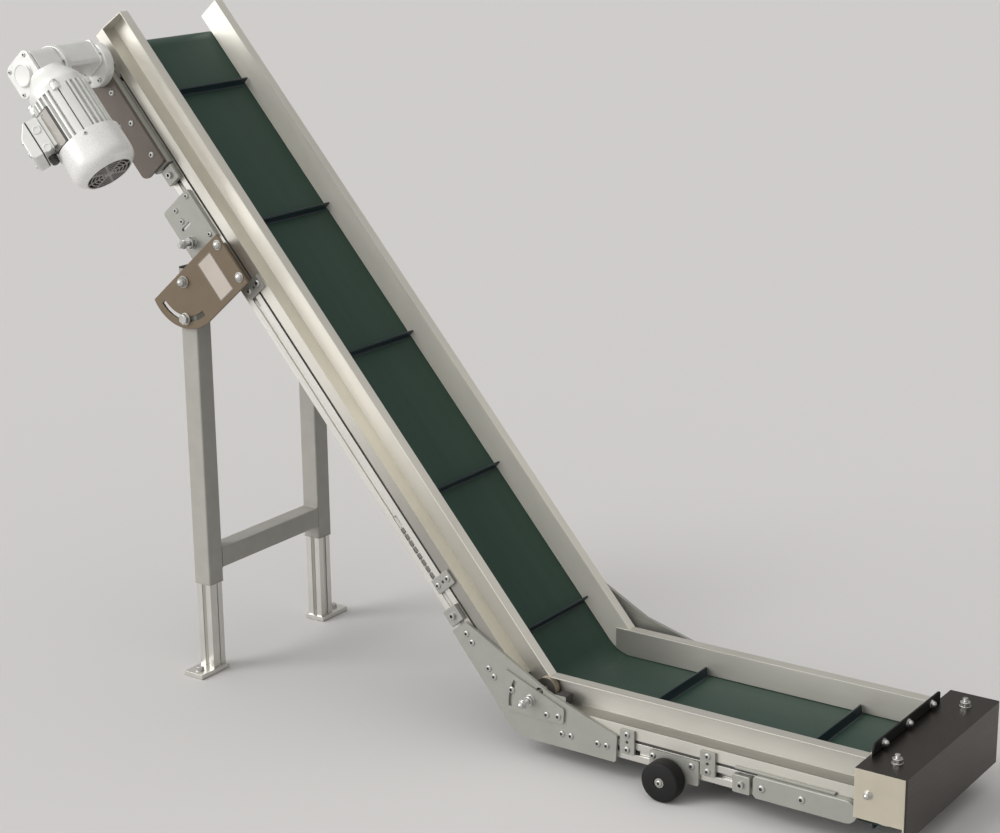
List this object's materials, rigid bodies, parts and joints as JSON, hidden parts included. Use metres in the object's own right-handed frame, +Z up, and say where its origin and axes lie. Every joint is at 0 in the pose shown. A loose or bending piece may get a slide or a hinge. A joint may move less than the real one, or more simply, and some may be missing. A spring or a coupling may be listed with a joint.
{
  "type": "belt conveyor section",
  "caption": "Belt conveyor section: low level infeed bending into a steep cleated incline, with side guides, gearmotor at the head and a tilting height-adjustable leg stand.",
  "frame": {"origin": "middle of the footprint's bounding box, on the floor; the belt's centre plane is y = 0.0916 and the knee of the belt line is at x = 0.1346", "axes": "+X along the level run towards the infeed tail, +Z up, -Y the side the gearmotor hangs on"},
  "size_m": [1.5092, 0.5792, 1.109],
  "materials": {
    "profile": "natural anodised, brushed",
    "guide": "brushed stainless sheet",
    "plate": "matt anodised plate",
    "dark_plate": "dark satin plate",
    "bronze_plate": "bronze-brown satin plate",
    "belt": "matt dark green belt",
    "roller": "turned",
    "motor": "silver-grey machine paint",
    "motor_inner": "dark varnished",
    "leg": "grey-beige satin paint",
    "rubber": "matt black",
    "cover": "dark brushed stainless"
  },
  "bodies": {
    "frame": {"belt": "belt", "fan_cowl": "motor", "gearbox": "motor", "head_plate_far": "plate", "head_plate_near": "plate", "knee_guide_holder_far": "plate", "knee_guide_holder_near": "plate", "knee_plate_far": "plate", "knee_plate_near": "plate", "leg_mount_plate_far": "plate", "leg_mount_plate_near": "plate", "level_bed": "guide", "level_cross_tie": "profile", "level_guide_far": "guide", "level_guide_near": "guide", "level_rail_far": "profile", "level_rail_near": "profile", "level_slot_block": "plate", "lower_cross_tie": "profile", "lower_guide_holder_far": "plate", "lower_guide_holder_near": "plate", "lower_slot_block": "plate", "motor_housing": "motor", "motor_plate": "dark_plate", "seal_strip": "rubber", "slope_bed": "guide", "slope_guide_far": "guide", "slope_guide_near": "guide", "slope_rail_far": "profile", "slope_rail_near": "profile", "swivel_plate_far": "bronze_plate", "swivel_plate_near": "bronze_plate", "tail_cover": "cover", "tail_guide_holder_far": "plate", "tail_guide_holder_near": "plate", "terminal_box": "motor", "upper_cross_tie": "profile", "upper_guide_holder_far": "plate", "upper_guide_holder_near": "plate", "upper_slot_block": "plate", "wheel_bracket_far": "plate", "wheel_bracket_near": "plate"},
    "head_drum": {"head_drum": "roller"},
    "motor_rotor": {"motor_rotor": "motor_inner", "cooling_fan": "motor_inner"},
    "tail_carriage": {"tension_bar_near": "plate", "tension_bar_far": "plate"},
    "tail_roller": {"tail_roller": "roller"},
    "return_roller": {"knee_return_roller": "roller"},
    "adjuster_near": {"adjuster_plate_near": "plate"},
    "adjuster_far": {"adjuster_plate_far": "plate"},
    "hold_wheel_near": {"hold_down_wheel_near": "rubber"},
    "hold_wheel_far": {"hold_down_wheel_far": "rubber"},
    "support_wheel_near": {"support_wheel_near": "rubber"},
    "support_wheel_far": {"support_wheel_far": "rubber"},
    "leg_stand": {"leg_tube_near": "leg", "leg_tube_far": "leg", "leg_crossbeam": "leg"},
    "leg_extension_near": {"leg_extension_near": "profile"},
    "leg_extension_far": {"leg_extension_far": "profile"}
  },
  "joints": [
    {"name": "head_drum_spin", "type": "hinge", "parent": "frame", "child": "head_drum", "pos_m": [-0.70327, 0.0916, 1.02583], "axis": [0, 1, 0], "continuous": true},
    {"name": "motor_rotor_spin", "type": "hinge", "parent": "frame", "child": "motor_rotor", "pos_m": [-0.62345, -0.2044, 0.95854], "axis": [-0.6494, 0, 0.7604], "continuous": true},
    {"name": "tail_tension_slide", "type": "slide", "parent": "frame", "child": "tail_carriage", "axis": [1, 0, 0], "range_m": [-0.005, 0]},
    {"name": "tail_roller_spin", "type": "hinge", "parent": "tail_carriage", "child": "tail_roller", "pos_m": [0.7046, 0.0916, 0.061], "axis": [0, 1, 0], "continuous": true},
    {"name": "return_roller_spin", "type": "hinge", "parent": "frame", "child": "return_roller", "pos_m": [0.1178, 0.0916, 0.0545], "axis": [0, 1, 0], "continuous": true},
    {"name": "adjuster_swing_near", "type": "hinge", "parent": "frame", "child": "adjuster_near", "pos_m": [0.1815, -0.0524, 0.0817], "axis": [0, 1, 0], "range_deg": [0, 5]},
    {"name": "hold_wheel_spin_near", "type": "hinge", "parent": "adjuster_near", "child": "hold_wheel_near", "pos_m": [0.144, -0.0244, 0.1113], "axis": [0, 1, 0], "continuous": true},
    {"name": "support_wheel_spin_near", "type": "hinge", "parent": "frame", "child": "support_wheel_near", "pos_m": [0.3721, -0.0644, 0.031], "axis": [0, 1, 0], "continuous": true},
    {"name": "adjuster_swing_far", "type": "hinge", "parent": "frame", "child": "adjuster_far", "pos_m": [0.1815, 0.2356, 0.0817], "axis": [0, 1, 0], "range_deg": [0, 5]},
    {"name": "hold_wheel_spin_far", "type": "hinge", "parent": "adjuster_far", "child": "hold_wheel_far", "pos_m": [0.144, 0.2076, 0.1113], "axis": [0, 1, 0], "continuous": true},
    {"name": "support_wheel_spin_far", "type": "hinge", "parent": "frame", "child": "support_wheel_far", "pos_m": [0.3721, 0.2476, 0.031], "axis": [0, 1, 0], "continuous": true},
    {"name": "leg_tilt", "type": "hinge", "parent": "frame", "child": "leg_stand", "pos_m": [-0.5254, 0.0916, 0.684], "axis": [0, 1, 0], "range_deg": [-35, 46]},
    {"name": "leg_height_near", "type": "slide", "parent": "leg_stand", "child": "leg_extension_near", "axis": [0, 0, 1], "range_m": [-0.1, 0.1]},
    {"name": "leg_height_far", "type": "slide", "parent": "leg_stand", "child": "leg_extension_far", "axis": [0, 0, 1], "range_m": [-0.1, 0.1]}
  ],
  "couplings": [
    {"joint": "motor_rotor_spin", "follows": "head_drum_spin", "ratio": 20},
    {"joint": "tail_roller_spin", "follows": "head_drum_spin", "ratio": 1},
    {"joint": "return_roller_spin", "follows": "head_drum_spin", "ratio": 1.325},
    {"joint": "hold_wheel_spin_near", "follows": "head_drum_spin", "ratio": -1.6286},
    {"joint": "hold_wheel_spin_far", "follows": "head_drum_spin", "ratio": -1.6286}
  ]
}
